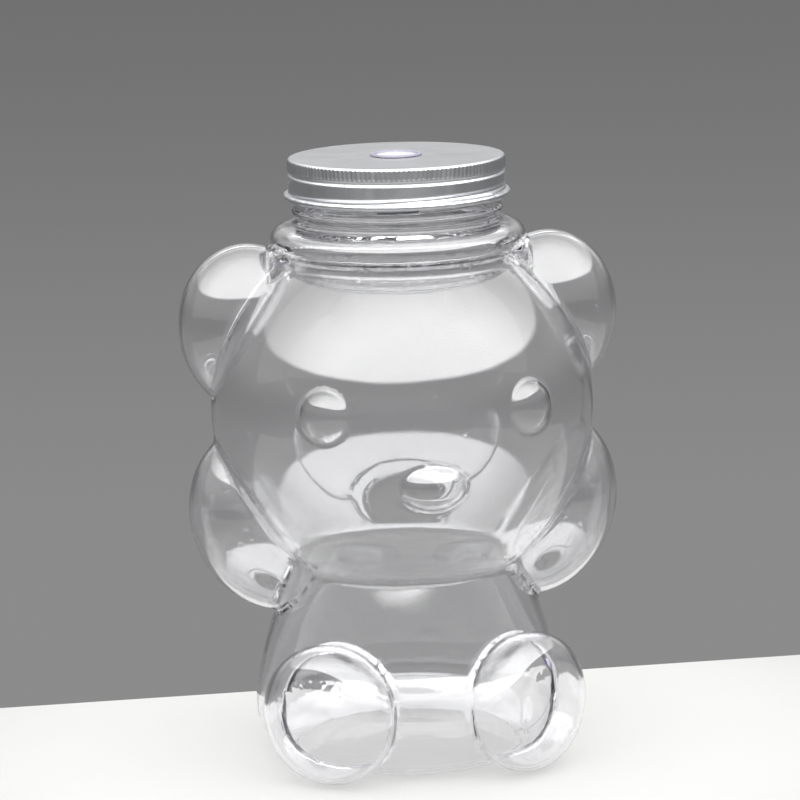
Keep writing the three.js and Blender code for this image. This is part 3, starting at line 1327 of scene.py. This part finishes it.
@dataclass
class ScrewCap:
    """The drawn cap: a knurled grip, a rolled thread, a curled edge and a hole for a straw."""

    thread: ScrewThread = field(
        default_factory=lambda: ScrewThread(
            start_height=139.2, start_angle=180.0, turns=1.05, half_width=0.8, flank=0.6
        )
    )
    finish: DrawnAluminium = field(default_factory=DrawnAluminium)
    radius: float = 26.5
    sheet: float = 0.6
    edge: float = 0.8
    edge_steps: int = 6
    corner: float = 0.2
    top_rings: int = 6
    crisp_angle: float = 50.0
    hole_radius: float = 5.4
    hem_flat: float = 1.0
    teeth: int = 140
    columns_per_tooth: int = 4
    tooth_depth: float = 0.2
    grip_low: float = 3.0
    grip_high: float = 0.12
    grip_fade: float = 0.3
    grip_run_out: float = 0.6
    groove_down: float = 3.7
    groove_half: float = 0.6
    groove_depth: float = 0.5
    thread_depth: float = 0.5
    curl: float = 0.8
    curl_span: tuple[float, float] = (-115.0, 100.0)
    curl_steps: int = 12
    curl_gap: float = 0.1
    crimps: int = 32
    crimp_depth: float = 0.12
    crimp_half: float = 1.6
    step: float = 0.3

    def build(self) -> bpy.types.Object:
        """Turns the cap and presses its knurl, groove, thread and crimps into the sheet.

        Returns:
            The cap, dressed and riding on its body.
        """
        low, high = node_heights("screw_cap")
        inside = self.radius - self.sheet
        under = high - self.sheet
        curl, edge, hem = self.curl, self.edge, self.sheet / 2
        outline = [(inside, low + curl / 2), (inside + hem, low + curl / 8)]
        outline += arc(self.radius + curl / 2, low + curl, curl, curl, *self.curl_span, self.curl_steps)
        outline += line(self.radius, low + 2 * curl + self.curl_gap, high - edge, self.step)
        outline += arc(self.radius - edge, high - edge, edge, edge, 0, 90, self.edge_steps)[1:]
        rings = np.linspace(self.radius - 2 * edge, self.hole_radius + self.hem_flat, self.top_rings)
        outline += [(r, high) for r in rings]
        outline += arc(self.hole_radius + hem, high - hem, hem, hem, 90, 270, self.edge_steps)
        outline += [(inside - self.corner, under)]
        outline += line(inside, under - self.corner, low + self.curl, self.step)
        cap = turned("aluminium_cap", outline, self.teeth * self.columns_per_tooth, closed=True)
        push_out(cap, self._pressed(points_of(cap), low, high))
        smoothed(cap, self.crisp_angle)
        cap.data.materials.append(self.finish.material())
        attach(cap, "cap")
        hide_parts("screw_cap")
        return cap

    def _pressed(self, points: np.ndarray, low: float, high: float) -> np.ndarray:
        """Gives how far the tools push each point of the cap's wall.

        Args:
            points: Points in millimetres from the neck's axis, one row each.
            low: Height of the cap's curled edge.
            high: Height of the cap's top.

        Returns:
            The distances in millimetres, negative inwards.
        """
        z = points[:, 2]
        r = np.hypot(points[:, 0], points[:, 1])
        angle = np.arctan2(points[:, 1], points[:, 0])
        outer = r > self.radius - self.sheet / 2
        grip = smooth_step((z - high + self.grip_low) / self.grip_fade)
        grip *= smooth_step((high - self.grip_high - z) / self.grip_run_out)
        wave = np.abs((angle * self.teeth / math.tau) % 1 - 0.5) * 2
        knurl = -self.tooth_depth * wave * grip * outer
        groove = 1 - np.clip(np.abs(z - high + self.groove_down) / self.groove_half, 0, 1)
        band = smooth_step(groove) * self.groove_depth
        rolled = self.thread.ridge(points) * self.thread_depth
        clear = (z > low + 2 * self.curl) & (z < high - self.grip_low)
        pressed = -np.maximum(band, rolled) * clear
        turn = (angle * self.crimps / math.tau) % 1 - 0.5
        arc_off = turn * math.tau * self.radius / self.crimps
        notch = np.exp(-((arc_off / (self.crimp_half / 2)) ** 2))
        bead = (r > self.radius + self.curl / 2) & (z < low + 2 * self.curl)
        return knurl + pressed - self.crimp_depth * notch * bead


@dataclass
class CapLiner:
    """The foam ring that the cap presses on the neck's rim."""

    finish: FoamedPolyethylene = field(default_factory=FoamedPolyethylene)
    inner_radius: float = 5.6
    outer_radius: float = 25.7
    rim_radius: float = 23.95
    dent_half: float = 1.1
    dent_depth: float = 0.12
    round_off: float = 0.15
    round_steps: int = 3
    round_angle: float = 60.0
    crisp_angle: float = 35.0
    columns: int = 144

    def build(self) -> bpy.types.Object:
        """Turns the ring, with the dent that the neck's rim leaves in its underside.

        Returns:
            The liner, dressed and riding on its body.
        """
        low, high = node_heights("cap_liner")
        dent = [
            (self.rim_radius - self.dent_half, low),
            (self.rim_radius - self.dent_half / 2, low + self.dent_depth),
            (self.rim_radius + self.dent_half / 2, low + self.dent_depth),
            (self.rim_radius + self.dent_half, low),
        ]
        outline = [(self.inner_radius, low), *dent, (self.outer_radius, low)]
        outline += [(self.outer_radius, high), (self.inner_radius, high)]
        liner = turned("foam_liner", outline, self.columns, closed=True)
        rounded_edges(liner, self.round_off, self.round_steps, self.round_angle)
        smoothed(liner, self.crisp_angle)
        liner.data.materials.append(self.finish.material())
        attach(liner, "liner")
        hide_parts("cap_liner")
        return liner


@dataclass
class StrawStopper:
    """The soft plug in the straw hole: a dished head with a lip on the cap, and a hollow stem."""

    finish: MouldedSilicone = field(default_factory=MouldedSilicone)
    stem_radius: float = 5.15
    lip_radius: float = 6.3
    lip_rise: float = 0.5
    stem_wall: float = 1.2
    web: float = 0.7
    round_off: float = 0.14
    round_steps: int = 3
    round_angle: float = 25.0
    crisp_angle: float = 40.0
    columns: int = 96

    def build(self) -> bpy.types.Object:
        """Turns the stopper and softens its edges.

        Returns:
            The stopper, dressed and riding on its body.
        """
        tip, top = node_heights("straw_stopper")
        _, floor = node_heights("screw_cap")
        seat = top - self.lip_rise
        hollow = self.stem_radius - self.stem_wall
        outline = [
            (0.0, floor - self.web),
            (hollow, floor - self.web),
            (hollow, tip),
            (self.stem_radius - self.stem_wall / 2, tip),
            (self.stem_radius, tip + self.stem_wall / 2),
            (self.stem_radius, seat),
            (self.lip_radius, seat),
            (self.lip_radius - self.lip_rise / 2, top),
            (self.stem_radius + self.lip_rise / 2, top),
            (self.stem_radius - self.lip_rise / 2, floor),
            (0.0, floor),
        ]
        stopper = turned("silicone_stopper", outline, self.columns, closed=False)
        rounded_edges(stopper, self.round_off, self.round_steps, self.round_angle)
        smoothed(stopper, self.crisp_angle)
        stopper.data.materials.append(self.finish.material())
        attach(stopper, "stopper")
        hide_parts("straw_stopper")
        return stopper


# Studio


@dataclass
class Studio:
    """A pale table top, a bright soft sky over a dim room, and the camera.

    The sky's and the room's rises, edges and turn are heights and depths on a dome of radius 1.
    """

    table: PaintedGlowAcrylic = field(default_factory=PaintedGlowAcrylic)
    table_back: float = 60.0
    table_front: float = 620.0
    table_half: float = 420.0
    table_thick: float = 22.0
    table_round: float = 2.0
    round_steps: int = 4
    round_angle: float = 60.0
    crisp_angle: float = 40.0
    sky_colour: str = "#FFFFFF"
    sky_front: float = 6.5
    sky_behind: float = 1.6
    sky_edge: tuple[float, float] = (0.41, 0.46)
    backdrop: tuple[float, float] = (0.26, 0.16)
    backdrop_rise: tuple[float, float] = (-0.24, -0.06)
    wall_top: float = 0.6
    wall_rise: tuple[float, float] = (0.0, 0.3)
    turn_over: tuple[float, float] = (-0.5, 0.6)
    view_azimuth: float = -9.0
    view_distance: float = 890.0
    view_height: float = 262.0
    view_pitch: float = 11.1
    view_roll: float = 1.4
    view_aside: float = 0.03
    focal_pixels: float = 3690.0
    frame_pixels: float = 800.0
    sensor: float = 36.0
    clear_bounces: int = 28
    gloss_bounces: int = 12

    def build(self) -> None:
        """Sets the table, the sky and the camera."""
        self._table()
        self._sky()
        self._camera()
        scene = bpy.context.scene
        scene.view_settings.view_transform = "Standard"
        scene.cycles.max_bounces = self.clear_bounces
        scene.cycles.transmission_bounces = self.clear_bounces
        scene.cycles.glossy_bounces = self.gloss_bounces

    def _table(self) -> None:
        """Adds the table top that the bottle stands on, which ends just behind it."""
        deselect()
        deep = self.table_front + self.table_back
        bpy.ops.mesh.primitive_cube_add(
            size=1,
            location=(0, (self.table_back - self.table_front) / 2 * MM, -self.table_thick / 2 * MM),
            scale=(2 * self.table_half * MM, deep * MM, self.table_thick * MM),
        )
        top = bpy.context.object
        top.name = top.data.name = "table_top"
        bpy.ops.object.transform_apply(location=True, rotation=True, scale=True)
        rounded_edges(top, self.table_round, self.round_steps, self.round_angle)
        smoothed(top, self.crisp_angle)
        top.data.materials.append(self.table.material())

    def _sky(self) -> None:
        """Lights the scene from a soft sky, brightest in front, over a dim room."""
        world = bpy.data.worlds.new("studio_dome")
        world.use_nodes = True
        bpy.context.scene.world = world
        tree = world.node_tree
        eased = {"interpolation_type": "SMOOTHSTEP"}
        way = add_node(tree, "TexCoord", {}, "Generated")
        parts = add_node(tree, "SeparateXYZ", [way]).node.outputs
        behind = add_node(tree, "MapRange", [parts["Y"], *self.turn_over], **eased)
        brightness = {SHARE: behind, VALUE_A: self.sky_front, VALUE_B: self.sky_behind}
        sky = add_node(tree, "Mix", brightness, data_type="FLOAT")
        low = [parts["Z"], *self.backdrop_rise, *self.backdrop]
        backdrop = add_node(tree, "MapRange", low, **eased)
        high = [parts["Z"], *self.wall_rise, 0.0, self.wall_top - self.backdrop[1]]
        wall = add_node(tree, "MapRange", high, **eased)
        room = add_node(tree, "Math", [backdrop, wall], operation="ADD")
        rise = add_node(tree, "MapRange", [parts["Z"], *self.sky_edge], **eased)
        shares = {SHARE: rise, VALUE_A: room, VALUE_B: sky}
        whole = add_node(tree, "Mix", shares, data_type="FLOAT")
        fill(tree.nodes["Background"], {"Color": linear(self.sky_colour), "Strength": whole})

    def _camera(self) -> None:
        """Puts the camera a little to the left, above the head, and tips it as the picture is."""
        deselect()
        a = math.radians(self.view_azimuth)
        ahead = math.radians(self.view_azimuth + self.view_aside)
        pitch = math.radians(self.view_pitch)
        roll = math.radians(self.view_roll)
        across = Vector((math.cos(ahead), math.sin(ahead), 0))
        level = Vector((-math.sin(ahead), math.cos(ahead), 0))
        forward = level * math.cos(pitch) - Vector((0, 0, math.sin(pitch)))
        up = across.cross(forward)
        right = across * math.cos(roll) - up * math.sin(roll)
        top = across * math.sin(roll) + up * math.cos(roll)
        turn = Matrix((right, top, -forward)).transposed()
        far = self.view_distance
        place = Vector((far * math.sin(a), neck_axis_y() - far * math.cos(a), self.view_height))
        bpy.ops.object.camera_add(location=place * MM, rotation=turn.to_euler())
        camera = bpy.context.object
        camera.name = camera.data.name = "photo_view"
        camera.data.sensor_width = self.sensor
        camera.data.lens = self.focal_pixels / self.frame_pixels * self.sensor
        bpy.context.scene.camera = camera


def main() -> None:
    """Builds the bottle, its cap, liner and stopper, and the studio."""
    logging.basicConfig(level=logging.INFO, format="%(name)s: %(message)s")
    for maker in (BearBottle(), ScrewCap(), CapLiner(), StrawStopper()):
        piece = maker.build()
        triangles = sum(len(face.vertices) - 2 for face in piece.data.polygons)
        LOG.info("%s: %d triangles", piece.name, triangles)
    Studio().build()


if __name__ == "__main__":
    main()
